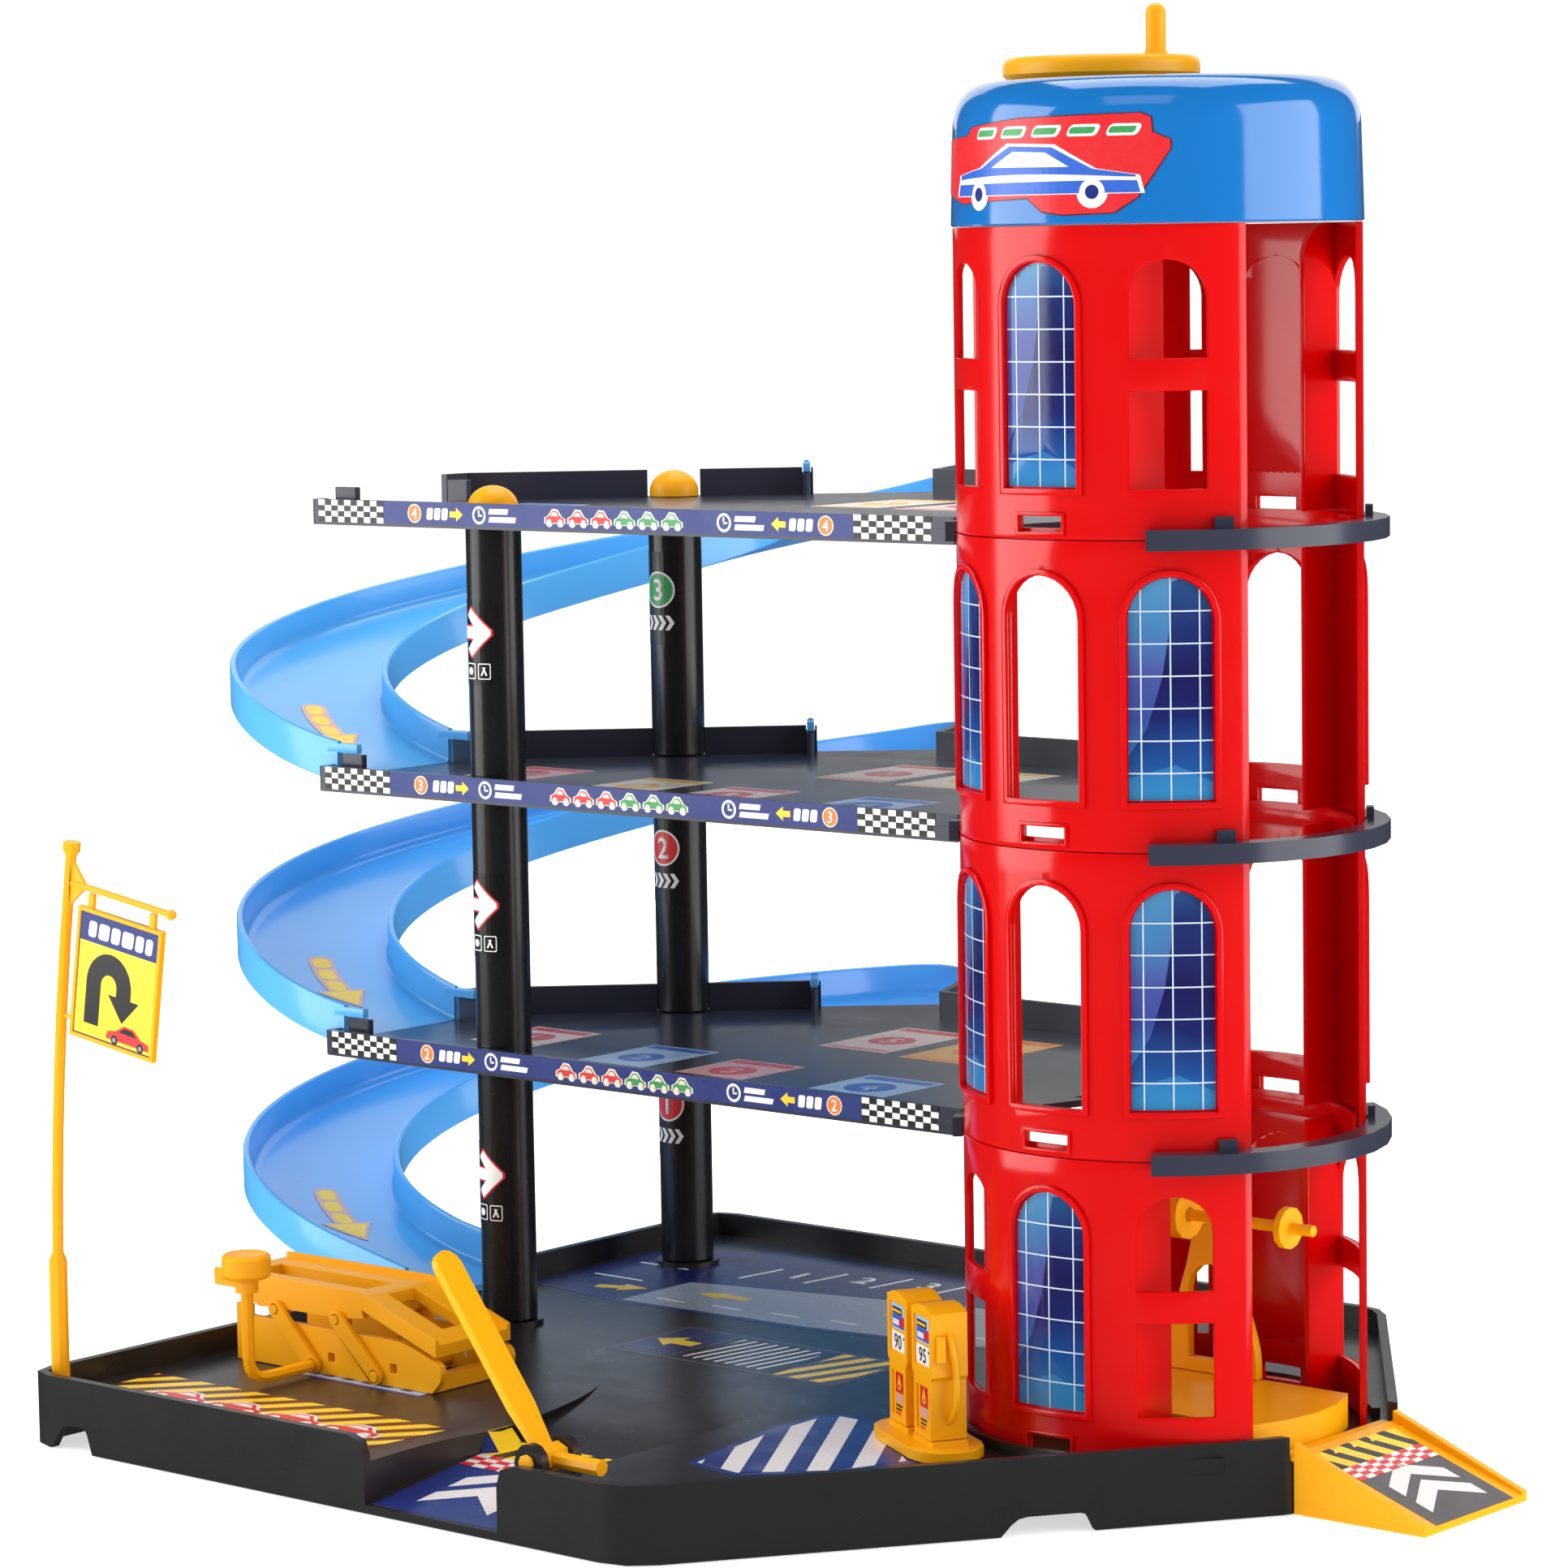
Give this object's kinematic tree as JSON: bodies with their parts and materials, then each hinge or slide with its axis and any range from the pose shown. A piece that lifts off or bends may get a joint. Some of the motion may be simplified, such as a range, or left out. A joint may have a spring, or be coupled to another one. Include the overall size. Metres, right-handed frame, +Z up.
{
  "type": "toy parking garage",
  "caption": "Toy parking garage with decks on columns, spiral ramps, a round lift tower with a crank, a service lift, a barrier, pumps and a sign.",
  "frame": {"origin": "on the ground under the middle of the whole garage's bounding box", "axes": "X along the front wall from the sign to the entry ramp, Y from the front wall to the back, Z up"},
  "size_m": [0.668, 0.501, 0.5193],
  "materials": {
    "black_plastic": "glossy black injection moulding",
    "deck_plastic": "satin dark slate moulding",
    "blue_plastic": "glossy sky-blue moulding",
    "red_plastic": "glossy red moulding",
    "yellow_plastic": "satin amber-yellow moulding",
    "white_plastic": "plain white moulding",
    "string": "twisted white string"
  },
  "bodies": {
    "garage": {"base_tray": "black_plastic", "column_front_1": "black_plastic", "column_front_2": "black_plastic", "column_front_3": "black_plastic", "column_rear_1": "black_plastic", "column_rear_2": "black_plastic", "column_rear_3": "black_plastic", "deck_2": "deck_plastic", "deck_3": "deck_plastic", "deck_4": "deck_plastic", "balcony_2": "deck_plastic", "balcony_3": "deck_plastic", "balcony_4": "deck_plastic", "spiral_ramp_2": "blue_plastic", "spiral_ramp_3": "blue_plastic", "spiral_ramp_4": "blue_plastic", "tower_cap": "blue_plastic", "tower_front_1": "red_plastic", "tower_front_2": "red_plastic", "tower_front_3": "red_plastic", "tower_front_4": "red_plastic", "tower_back_1": "red_plastic", "tower_back_2": "red_plastic", "tower_back_3": "red_plastic", "tower_back_4": "red_plastic", "winch_plate": "white_plastic", "string_feed": "string", "entry_ramp": "yellow_plastic", "column_cap_front": "yellow_plastic", "column_cap_rear": "yellow_plastic", "sign_post": "yellow_plastic", "sign_panel": "yellow_plastic", "barrier_pin": "yellow_plastic", "pump_island": "yellow_plastic", "pump_left": "yellow_plastic", "pump_right": "yellow_plastic", "service_frame": "yellow_plastic"},
    "crank": {"crank": "yellow_plastic", "winch_drum": "yellow_plastic"},
    "lift": {"lift_platform": "yellow_plastic", "lift_hanger": "yellow_plastic", "lift_spindle": "yellow_plastic", "lift_string": "string"},
    "barrier": {"barrier_arm": "yellow_plastic"},
    "service_lever": {"link_left_front": "yellow_plastic", "link_left_back": "yellow_plastic", "service_rod": "yellow_plastic", "service_knob": "yellow_plastic"},
    "service_table": {"service_table": "yellow_plastic"},
    "service_follower": {"link_right_front": "yellow_plastic", "link_right_back": "yellow_plastic", "service_axle": "yellow_plastic"}
  },
  "joints": [
    {"name": "lift_slide", "type": "slide", "parent": "garage", "child": "lift", "axis": [0, 0, 1], "range_m": [0, 0.3066], "deforming": ["lift_string"]},
    {"name": "crank_turn", "type": "hinge", "parent": "garage", "child": "crank", "pos_m": [0.1844, -0.0325, 0.5], "axis": [0, 0, 1], "range_deg": [-1343, 0]},
    {"name": "barrier_hinge", "type": "hinge", "parent": "garage", "child": "barrier", "pos_m": [0.094, -0.2335, 0.027], "axis": [0, -1, 0], "range_deg": [0, 50]},
    {"name": "service_lever_hinge", "type": "hinge", "parent": "garage", "child": "service_lever", "pos_m": [-0.094, -0.1405, 0.0215], "axis": [0, 1, 0], "range_deg": [0, 45]},
    {"name": "service_table_hinge", "type": "hinge", "parent": "service_lever", "child": "service_table", "pos_m": [-0.11378, -0.1405, 0.0406], "axis": [0, 1, 0], "range_deg": [-45, 0]},
    {"name": "service_follower_hinge", "type": "hinge", "parent": "garage", "child": "service_follower", "pos_m": [-0.0612, -0.1405, 0.0215], "axis": [0, 1, 0], "range_deg": [0, 45]}
  ],
  "couplings": [
    {"joint": "crank_turn", "follows": "lift_slide", "rad_per_m": -76.336},
    {"joint": "service_table_hinge", "follows": "service_lever_hinge", "ratio": -1},
    {"joint": "service_follower_hinge", "follows": "service_lever_hinge", "ratio": 1}
  ]
}
